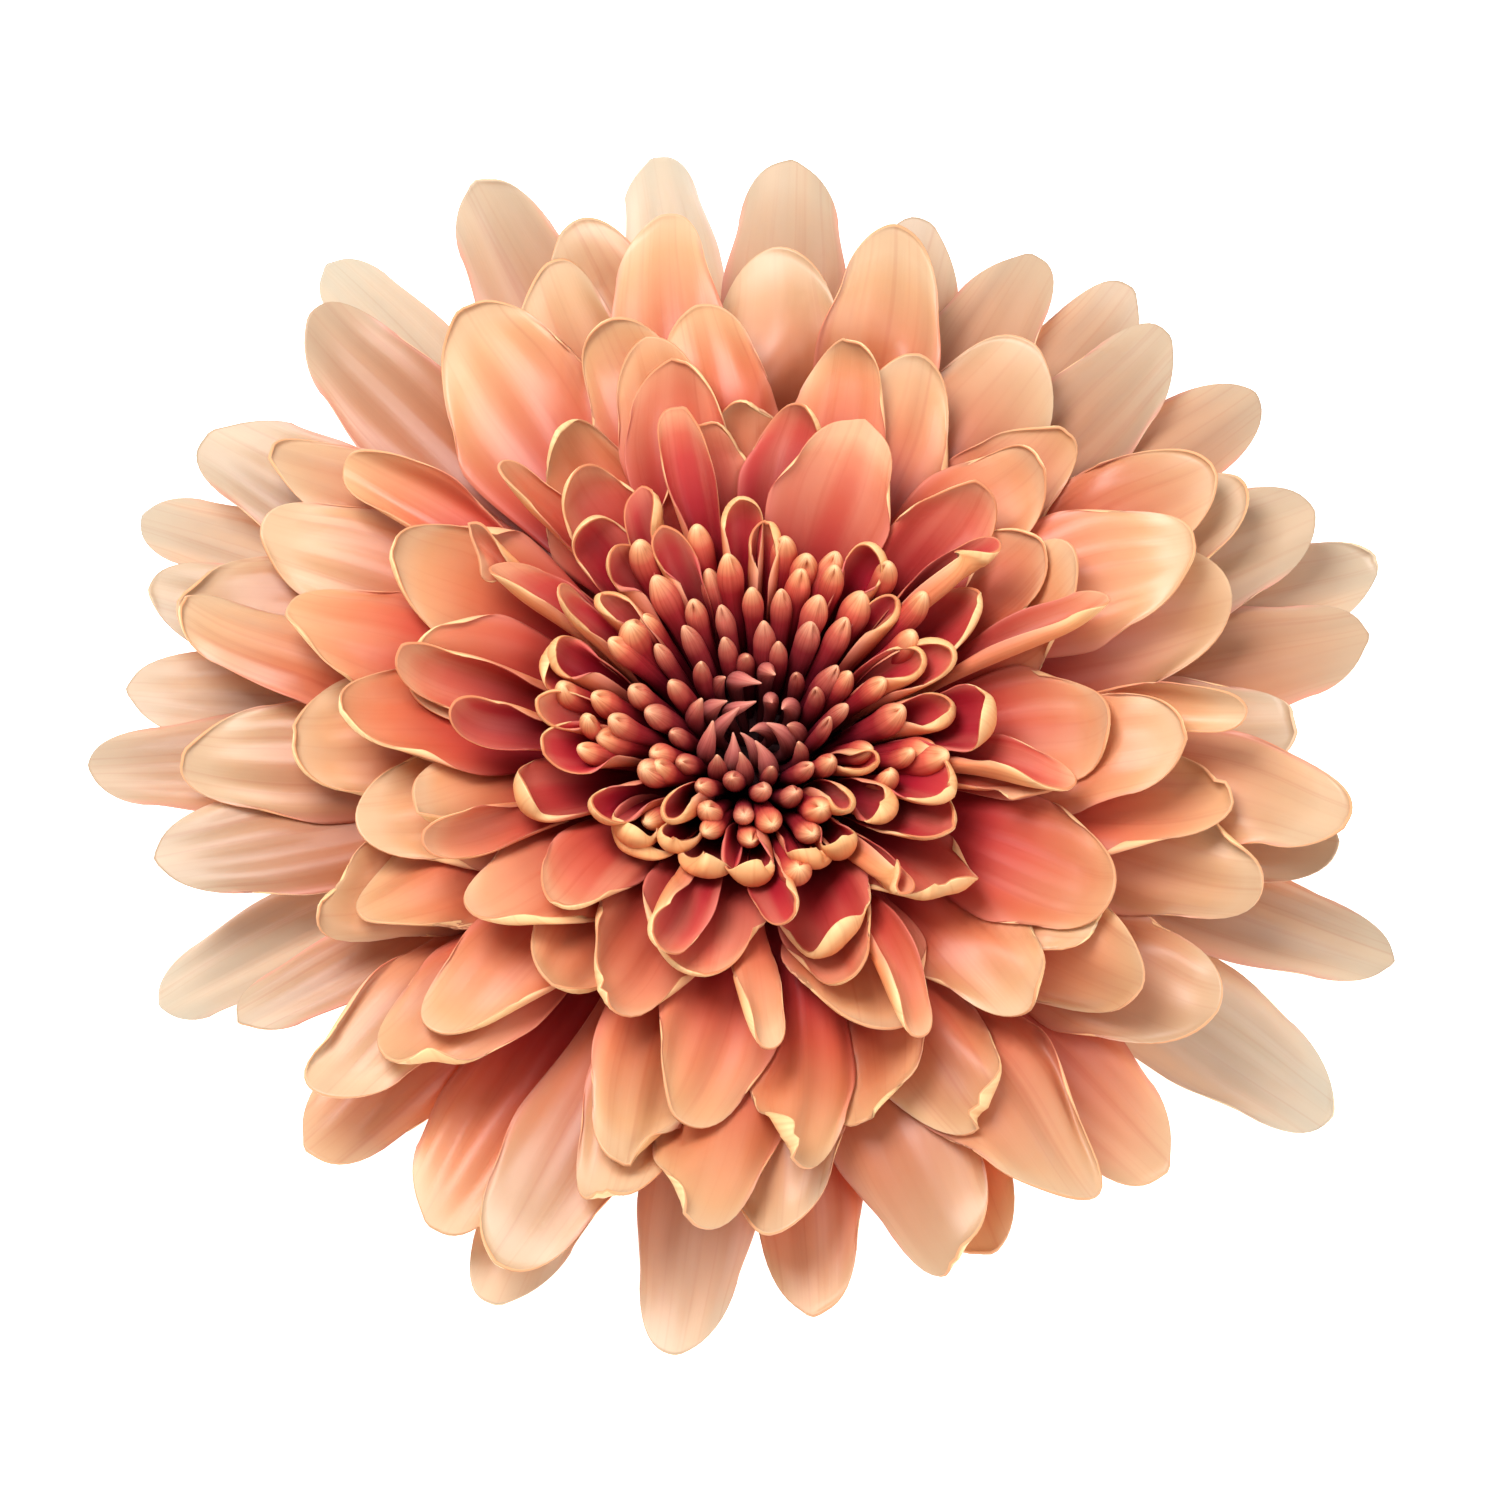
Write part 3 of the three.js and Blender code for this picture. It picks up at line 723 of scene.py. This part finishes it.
def petal_blank(columns, rows):
    """A flat petal before it is bent: a grid that is finer at its margins and its tip, with its flesh
    thickest at the midrib"""
    bpy.ops.object.select_all(action="DESELECT")
    bpy.ops.mesh.primitive_grid_add(x_subdivisions=columns, y_subdivisions=rows, size=2)
    blank = bpy.context.object
    points = points_of(blank.data)
    x, y = -points[:, 0], (points[:, 1] + 1) / 2
    u = x * (1.3 - 0.3 * x ** 2)
    t = 1 - (1 - y) ** PETAL_CROWDING
    flesh = blank.vertex_groups.new(name="flesh")
    for vertex, across, along in zip(blank.data.vertices, u, t):
        flesh.add([vertex.index], max(0.0, 1 - 0.75 * across ** 2 - 0.3 * along), "REPLACE")
    chart(blank.data, (u + 1) / 2, t)
    bpy.ops.object.shade_smooth()
    return blank, u, t


def quill_blank(sides, rings):
    """A tube whose far end will be drawn to a rounded tip; its seam runs up the inner side"""
    bpy.ops.object.select_all(action="DESELECT")
    bpy.ops.mesh.primitive_cylinder_add(vertices=sides, radius=1, depth=1, end_fill_type="NOTHING")
    blank = bpy.context.object
    bpy.ops.object.mode_set(mode="EDIT")
    bpy.ops.mesh.select_mode(type="EDGE")
    bpy.ops.mesh.select_all(action="DESELECT")
    bpy.ops.object.mode_set(mode="OBJECT")
    for edge in blank.data.edges:
        a, b = (blank.data.vertices[n].co for n in edge.vertices)
        edge.select = abs(a.z - b.z) > 0.5
    bpy.ops.object.mode_set(mode="EDIT")
    bpy.ops.mesh.subdivide(number_cuts=rings - 1, quadcorner="INNERVERT")
    bpy.ops.object.mode_set(mode="OBJECT")
    points = points_of(blank.data)
    turn = np.arctan2(points[:, 1], points[:, 0])
    t = 1 - (1 - (points[:, 2] + 0.5)) ** QUILL_CROWDING
    chart(blank.data, np.abs(turn) / math.pi, t)
    bpy.ops.object.shade_smooth()
    return blank, turn, t


def copies_of(blank, florets, places_of):
    """One copy of the blank for each floret, bent to its places and marked"""
    copies = []
    for floret in florets:
        copy = blank.copy()
        copy.data = blank.data.copy()
        bpy.context.scene.collection.objects.link(copy)
        copy.data.vertices.foreach_set("co", places_of(floret).astype(np.float32).ravel())
        copy.data.update()
        mark(copy.data, floret)
        copies.append(copy)
    bpy.data.objects.remove(blank)
    return copies


def joined(copies, name):
    """Joins copies into one piece"""
    bpy.ops.object.select_all(action="DESELECT")
    for copy in copies:
        copy.select_set(True)
    bpy.context.view_layer.objects.active = copies[0]
    bpy.ops.object.join()
    piece = bpy.context.object
    piece.name = name
    return piece


def petals(name, florets, finishes, cover):
    """Petals bent from one blank, each tucked under those above it and given its thickness"""
    columns, rows, thickness = BLANKS[name]
    blank, u, t = petal_blank(columns, rows)
    for finish in finishes:
        blank.data.materials.append(finish)

    def placed(floret):
        return tucked(floret, petal_places(floret, u, t), t, cover, (rows + 1, columns + 1))

    piece = joined(copies_of(blank, florets, placed), name)
    wall = piece.modifiers.new("thickness", "SOLIDIFY")
    wall.thickness = thickness * MM
    wall.offset = 0
    wall.vertex_group = "flesh"
    wall.thickness_vertex_group = EDGE_THICKNESS
    wall.material_offset = BACK
    wall.material_offset_rim = MARGIN
    bpy.ops.object.modifier_apply(modifier=wall.name)
    return piece


def quills(name, florets, finish):
    """Quills and claws drawn from one tube"""
    blank, turn, t = quill_blank(QUILL_SIDES, QUILL_RINGS)
    blank.data.materials.append(finish)
    piece = joined(copies_of(blank, florets, lambda floret: quill_places(floret, turn, t)), name)
    bpy.ops.object.mode_set(mode="EDIT")
    bpy.ops.mesh.select_all(action="SELECT")
    bpy.ops.mesh.remove_doubles(threshold=QUILL_MERGE * MM)
    bpy.ops.mesh.normals_make_consistent(inside=False)
    bpy.ops.object.mode_set(mode="OBJECT")
    return piece


def spun(name, profile, finish):
    """A solid drawn point by point from its profile of radius and height, then spun about the axis"""
    bpy.ops.object.select_all(action="DESELECT")
    start = Vector((AXIS.x + MM * profile[0][0], AXIS.y, MM * profile[0][1]))
    bpy.ops.mesh.primitive_plane_add(size=MM, location=start)
    piece = bpy.context.object
    piece.name = name
    bpy.ops.object.transform_apply(location=True, rotation=False, scale=False)
    bpy.ops.object.mode_set(mode="EDIT")
    bpy.ops.mesh.select_all(action="SELECT")
    bpy.ops.mesh.merge(type="CENTER")
    for low_end, high_end in zip(profile, profile[1:]):
        step = (MM * (high_end[0] - low_end[0]), 0, MM * (high_end[1] - low_end[1]))
        bpy.ops.mesh.extrude_region_move(TRANSFORM_OT_translate={"value": step})
    bpy.ops.mesh.select_all(action="SELECT")
    bpy.ops.mesh.spin(steps=SPIN_STEPS, angle=2 * math.pi, center=(AXIS.x, AXIS.y, 0), axis=(0, 0, 1))
    bpy.ops.mesh.select_all(action="SELECT")
    bpy.ops.mesh.remove_doubles(threshold=SPUN_MERGE * MM)
    bpy.ops.mesh.normals_make_consistent(inside=False)
    bpy.ops.object.mode_set(mode="OBJECT")
    piece.data.materials.append(finish)
    bpy.ops.object.shade_smooth_by_angle(angle=math.radians(SHARP_EDGE))
    return piece


def linear(colour):
    """A colour as the shaders count it"""
    values = [int(colour[n:n + 2], 16) / 255 for n in (1, 3, 5)]
    return [v / 12.92 if v <= 0.04045 else ((v + 0.055) / 1.055) ** 2.4 for v in values] + [1]


class Finish:
    """A procedural material being put together"""

    def __init__(self, name, roughness, subsurface=0.0, gloss=0.22):
        self.material = bpy.data.materials.new(name)
        self.material.use_nodes = True
        self.tree = self.material.node_tree
        self.shader = self.tree.nodes["Principled BSDF"]
        self.feed(self.shader, {
            "Roughness": roughness,
            "Specular IOR Level": gloss,
            "Subsurface Weight": subsurface,
            "Subsurface Radius": FLESH_SHARES,
            "Subsurface Scale": FLESH_DEPTH * MM,
        })

    def feed(self, node, values):
        """Sets a node's sockets to numbers or colours, or links them to what other nodes give"""
        for name, value in values.items():
            if isinstance(value, bpy.types.NodeSocket):
                self.tree.links.new(value, node.inputs[name])
            else:
                node.inputs[name].default_value = value

    def add(self, kind, values, **settings):
        node = self.tree.nodes.new(kind)
        for name, setting in settings.items():
            setattr(node, name, setting)
        self.feed(node, values)
        return node

    def map(self, name):
        """Both values of one of the petal's maps"""
        read = self.add("ShaderNodeUVMap", {}, uv_map=name)
        parts = self.add("ShaderNodeSeparateXYZ", {0: read.outputs[0]})
        return parts.outputs[0], parts.outputs[1]

    def object_places(self):
        return self.add("ShaderNodeTexCoord", {}).outputs["Object"]

    def reckon(self, how, first, second):
        return self.add("ShaderNodeMath", {0: first, 1: second}, operation=how).outputs[0]

    def plus(self, first, second):
        return self.reckon("ADD", first, second)

    def times(self, first, second):
        return self.reckon("MULTIPLY", first, second)

    def span(self, value, low, high, to_low=0.0, to_high=1.0):
        """Soft slope from one number to another as the value goes from low to high"""
        ends = {0: value, 1: low, 2: high, 3: to_low, 4: to_high}
        return self.add("ShaderNodeMapRange", ends, interpolation_type="SMOOTHSTEP").outputs[0]

    def ramp(self, value, stops):
        node = self.add("ShaderNodeValToRGB", {0: value})
        elements = node.color_ramp.elements
        elements[0].position = stops[0][0]
        elements[0].color = linear(stops[0][1])
        elements[1].position = stops[-1][0]
        elements[1].color = linear(stops[-1][1])
        for place, colour in stops[1:-1]:
            elements.new(place).color = linear(colour)
        return node.outputs[0]

    def blend(self, share, first, second, how="MIX"):
        """The second colour mixed into the first"""
        parts = {0: share, 6: first, 7: second}
        return self.add("ShaderNodeMix", parts, data_type="RGBA", blend_type=how).outputs[2]

    def streaks(self, across, along, luck, fineness, run=1.2, detail=2.0):
        """Long veins: noise that is far finer across the petal than along it, and new on each floret"""
        place = self.add("ShaderNodeCombineXYZ", {
            0: self.times(across, fineness), 1: self.times(along, run), 2: self.times(luck, 37.0),
        })
        return self.noise(place.outputs[0], 1.0, detail)

    def noise(self, place, scale, detail=2.0):
        values = {"Vector": place, "Scale": scale, "Detail": detail}
        return self.add("ShaderNodeTexNoise", values).outputs[0]

    def beside(self, across, start, most=1.0):
        """Grows towards both long edges of a petal, from a start to the most at the edge"""
        aside = self.times(self.reckon("SUBTRACT", across, 0.5), 2.0)
        return self.span(self.times(aside, aside), start, 1.0, 0.0, most)

    def thin_to_the_rim(self, across, along):
        """Less light sinks in along the rim, where the petal is too thin to hold it"""
        rim = self.reckon("MAXIMUM", self.beside(across, 0.5), self.span(along, 0.86, 1.0))
        self.feed(self.shader, {"Subsurface Weight": self.span(rim, 0.0, 1.0, 0.5, 0.1)})

    def bump(self, height, strength, distance):
        values = {"Height": height, "Strength": strength, "Distance": distance * MM}
        self.feed(self.shader, {"Normal": self.add("ShaderNodeBump", values).outputs[0]})

    def colour(self, value):
        self.feed(self.shader, {"Base Color": value})
        return self.material


def petal_face(name, gloss):
    """The upper face: wine red at the root, coral, then peach at the tip, paler on the outer florets. The
    dark wine at the root is partly the floret's own colour and partly painted shade of the depths between
    florets
    """
    finish = Finish(name, 0.42, 0.5, gloss)
    across, along = finish.map("petal")
    share, luck = finish.map("floret")
    pale = finish.map("tone")[0]
    finish.thin_to_the_rim(across, along)
    # How far along the petal, shifted a little by luck: the ramps darken towards the root partly as painted
    # shade
    colour_and_shade_along = finish.plus(along, finish.times(finish.reckon("SUBTRACT", luck, 0.5), 0.14))
    inner, outer, guard, cream = (
        finish.ramp(colour_and_shade_along, stops) for stops in (INNER_FACE, OUTER_FACE, GUARD_FACE, CREAM_FACE)
    )
    colour = finish.blend(finish.span(share, 0.65, 0.78), inner, outer)
    colour = finish.blend(finish.span(share, 0.79, 0.9), colour, guard)
    colour = finish.blend(pale, colour, cream)
    veins = finish.streaks(across, along, luck, 22.0, 1.0)
    broad = finish.streaks(across, along, luck, 4.0, 0.8, 0.5)
    open_part = finish.span(colour_and_shade_along, 0.45, 0.85)
    lighter = finish.times(finish.span(broad, 0.35, 0.7, 0.0, 0.16), open_part)
    colour = finish.blend(lighter, colour, linear("#ecc49c"))
    colour = finish.blend(finish.span(veins, 0.5, 0.8, 0.0, 0.22), colour, linear("#d87868"), "MULTIPLY")
    edge = finish.times(finish.beside(across, 0.6, 0.5), finish.span(pale, 0.0, 1.0, 1.0, 0.3))
    colour = finish.blend(finish.times(edge, open_part), colour, linear("#d4786c"))
    finish.bump(veins, 0.18, 0.12)
    return finish.colour(colour)


def petal_back():
    """The under face, which shows where a lip turns in: rose further down, golden cream along the rim"""
    finish = Finish("petal_back", 0.48, 0.5)
    across, along = finish.map("petal")
    share, luck = finish.map("floret")
    pale = finish.map("tone")[0]
    finish.thin_to_the_rim(across, along)
    inner, outer, cream, rim = (
        finish.ramp(along, stops) for stops in (INNER_BACK, OUTER_BACK, CREAM_BACK, BACK_RIM)
    )
    colour = finish.blend(finish.span(share, 0.56, 0.72), inner, outer)
    edge = finish.times(finish.beside(across, 0.4, 0.75), finish.span(along, 0.4, 0.7))
    colour = finish.blend(edge, colour, rim)
    colour = finish.blend(pale, colour, cream)
    veins = finish.streaks(across, along, luck, 20.0)
    colour = finish.blend(finish.span(veins, 0.45, 0.75, 0.0, 0.25), colour, linear("#d08868"), "MULTIPLY")
    finish.bump(veins, 0.3, 0.1)
    return finish.colour(colour)


def petal_margin():
    """The thin edge between the faces"""
    finish = Finish("petal_margin", 0.5, 0.05)
    across, along = finish.map("petal")
    share, luck = finish.map("floret")
    pale = finish.map("tone")[0]
    rose, peach, guard = (
        finish.ramp(along, stops) for stops in (ROSE_MARGIN, PEACH_MARGIN, GUARD_MARGIN)
    )
    colour = finish.blend(finish.span(share, 0.64, 0.82), rose, peach)
    colour = finish.blend(finish.span(share, 0.86, 0.95), colour, guard)
    colour = finish.blend(pale, colour, linear("#dcc4a0"))
    flecks = finish.streaks(across, along, luck, 3.0, 30.0)
    colour = finish.blend(finish.span(flecks, 0.5, 0.8, 0.0, 0.15), colour, linear("#f0c49c"))
    return finish.colour(colour)


def quill_skin():
    """The rolled florets: plum at the heart, tan fingertips that redden towards the root and darken almost
    to black there, partly their own wine colour and partly painted shade where they crowd together
    """
    finish = Finish("quill_skin", 0.42, 0.2, 0.14)
    across, along = finish.map("petal")
    share, luck = finish.map("floret")
    claw, dusky, tan = (finish.ramp(along, stops) for stops in (CLAW_SKIN, DUSKY_SKIN, TAN_SKIN))
    colour = finish.blend(finish.span(share, 0.14, 0.26), claw, dusky)
    outwards = finish.plus(share, finish.times(luck, 0.15))
    colour = finish.blend(finish.span(outwards, 0.34, 0.58), colour, tan)
    veins = finish.streaks(across, along, luck, 16.0)
    colour = finish.blend(finish.span(veins, 0.4, 0.75, 0.0, 0.35), colour, linear("#b05848"), "MULTIPLY")
    finish.bump(veins, 0.3, 0.08)
    return finish.colour(colour)


def bract_leaf():
    """The green of the bracts, darker at root and tip"""
    finish = Finish("bract_leaf", 0.55, 0.1)
    across, along = finish.map("petal")
    luck = finish.map("floret")[1]
    colour = finish.ramp(along, [(0.0, "#54703a"), (0.7, "#7c9a54"), (1.0, "#54703a")])
    veins = finish.streaks(across, along, luck, 18.0)
    colour = finish.blend(finish.span(veins, 0.4, 0.75, 0.0, 0.4), colour, linear("#5a7040"), "MULTIPLY")
    finish.bump(veins, 0.5, 0.12)
    return finish.colour(colour)


def stalk_skin():
    """Green stalk with fibres along it"""
    finish = Finish("stalk_skin", 0.6, 0.1)
    place = finish.add("ShaderNodeMapping", {"Vector": finish.object_places(), "Scale": (1400, 1400, 120)})
    fibres = finish.noise(place.outputs[0], 1.0)
    finish.bump(fibres, 0.5, 0.15)
    return finish.colour(finish.ramp(fibres, [(0.3, "#5f7d3c"), (0.7, "#93ab62")]))


def packed_bases():
    """The bed where the florets' bases crowd together: dark wine, near black between the bases, partly its
    own colour and partly painted shade of the deep hollow
    """
    finish = Finish("packed_bases", 0.7)
    cells = finish.add("ShaderNodeTexVoronoi", {"Vector": finish.object_places(), "Scale": 700})
    finish.bump(cells.outputs["Distance"], 0.6, 0.5)
    return finish.colour(finish.ramp(cells.outputs["Distance"], [(0, "#3a0810"), (1, "#140206")]))


def floor_paper():
    """Plain pale paper that glows a little, so that it stays even to its far edges"""
    finish = Finish("floor_paper", 0.9)
    grain = finish.noise(finish.object_places(), 900)
    finish.feed(finish.shader, {"Emission Color": (1, 1, 1, 1), "Emission Strength": FLOOR_GLOW})
    return finish.colour(finish.ramp(grain, [(0, "#f8f8f8"), (1, "#fcfcfc")]))


def settle(piece, node):
    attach(piece, "root")
    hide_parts(node)


def make_underside():
    """The stalk, the calyx with its bracts, and the bed that closes the heart of the bloom"""
    settle(spun("stalk", STALK_PROFILE, stalk_skin()), "stem")
    leaf = bract_leaf()
    cup = spun("calyx_cup", CALYX_PROFILE, leaf)
    scales = []
    for row in BRACT_ROWS:
        for n in range(row["count"]):
            scales.append(bract(len(scales), row, row["turn"] + 360 * n / row["count"]))
    leaves = petals("calyx", scales, [leaf, leaf, leaf], Cover())
    settle(joined([leaves, cup], "calyx"), "bracts")
    settle(spun("heart", HEART_PROFILE, packed_bases()), "centre_florets")


def spot(floret):
    """Where a floret's tip stands in the plane, seen from above"""
    return floret.tip[0] * np.exp(1j * floret.bearing)


def single_out(florets, bearing, reach, form):
    """Gives the floret whose tip is nearest to a place its own form"""
    meant = reach * np.exp(1j * math.radians(bearing))
    nearest = min(florets, key=lambda floret: abs(spot(floret) - meant))
    for feature, value in form.items():
        setattr(nearest, feature, value)


def is_the_big_petal(floret):
    return floret.tip == BIG_PETAL["tip"]


def hides_the_big_petal(floret):
    """True for a floret whose tip stands where the big petal is seen whole"""
    near = floret.tip[0] < BIG_PETAL_CLEARED_TO and abs(spot(floret) - BIG_PETAL_MIDDLE) < BIG_PETAL_CLEARED
    return near and not is_the_big_petal(floret)


def make_way(florets):
    """The florets round the big petal are pressed fully down under it"""
    for floret in florets:
        if abs(spot(floret) - BIG_PETAL_TIP) < BIG_PETAL_PRESSED and not is_the_big_petal(floret):
            floret.give = 1.0


def stands_in_a_cup(quill, cups):
    """True for a quill whose tip would fill the mouth of a cup"""
    for cup in cups:
        apart = (spot(quill) - spot(cup)) * np.exp(-1j * cup.bearing)
        if MOUTH_INWARDS < apart.real < MOUTH_OUTWARDS and abs(apart.imag) < MOUTH_ASIDE:
            return True
    return False


def cup_odds(share):
    """How often a floret at this share of the radius is an open cup and not a rolled quill"""
    few, rest = CUPS_AMONG_QUILLS, 1 - CUPS_AMONG_QUILLS
    return few * rise(share, *FIRST_CUPS) + rest * rise(share, *ALL_CUPS)


def make_bloom():
    """The florets from the axis outwards, each kind tucked under those before it"""
    ruled = [ruled_floret(i) for i in range(RULED_FLORETS)]
    single_out(ruled[ODD_FLORETS_FROM:], *BIG_PETAL_PLACE, BIG_PETAL)
    for bearing, reach, *features in LIPPED_FLORETS:
        single_out(ruled[ODD_FLORETS_FROM:], bearing, reach, dict(zip(LIP_FEATURES, features)))
    ruled = [f for f in ruled if not hides_the_big_petal(f)]
    centre = [f for f in ruled if f.number < CENTRE_FLORETS]
    inner = [f for f in ruled if CENTRE_FLORETS <= f.number < CENTRE_FLORETS + INNER_FLORETS]
    outer = [f for f in ruled if f.number >= CENTRE_FLORETS + INNER_FLORETS]
    guards = [guard_floret(n, *row) for n, row in enumerate(GUARDS)]
    guards.sort(key=lambda guard: -guard.tip[1])
    cups = [f for f in centre if draw(f.number, "open_mouth") < cup_odds(f.share)]
    rolled = [f for f in centre if f not in cups and not stands_in_a_cup(f, cups + inner)]
    make_way(inner)
    faces = [petal_face("inner_face", 0.14), petal_back(), petal_margin()]
    outer_faces = [petal_face("outer_face", 0.42)] + faces[1:]
    cover = Cover()
    settle(quills("centre_quills", rolled, quill_skin()), "centre_florets")
    settle(petals("centre_cups", cups, faces, cover), "centre_florets")
    settle(petals("inner_petals", inner, faces, cover), "inner_florets")
    settle(petals("outer_petals", outer, outer_faces, cover), "outer_florets")
    settle(petals("guard_petals", guards, outer_faces, cover), "guard_florets")


def make_floor():
    bpy.ops.object.select_all(action="DESELECT")
    bpy.ops.mesh.primitive_plane_add(size=FLOOR_SIZE, location=(0, 0, 0))
    floor = bpy.context.object
    floor.name = "floor"
    floor.data.materials.append(floor_paper())


def make_lights():
    """An even white room, and two large soft lamps"""
    world = bpy.data.worlds.new("studio")
    bpy.context.scene.world = world
    world.use_nodes = True
    room = world.node_tree.nodes["Background"]
    room.inputs["Color"].default_value = (1, 1, 1, 1)
    room.inputs["Strength"].default_value = ROOM_LIGHT
    for lamp in LIGHTS:
        place = Vector(lamp["place"])
        bpy.ops.object.light_add(type="AREA", location=place)
        light = bpy.context.object
        light.name = lamp["name"]
        light.data.size = lamp["size"]
        light.data.energy = lamp["power"]
        light.rotation_euler = (LOOK_AT - place).to_track_quat("-Z", "Y").to_euler()


def make_camera():
    elevation = math.radians(CAMERA_ELEVATION)
    back = Vector((0, -math.cos(elevation), math.sin(elevation)))
    bpy.ops.object.camera_add(location=LOOK_AT + back * CAMERA_DISTANCE)
    camera = bpy.context.object
    camera.name = "camera"
    camera.data.lens = CAMERA_LENS
    camera.data.sensor_width = CAMERA_SENSOR
    camera.rotation_euler = (-back).to_track_quat("-Z", "Y").to_euler()
    bpy.context.scene.camera = camera
    bpy.context.scene.view_settings.view_transform = "Standard"


make_underside()
make_bloom()
make_floor()
make_lights()
make_camera()
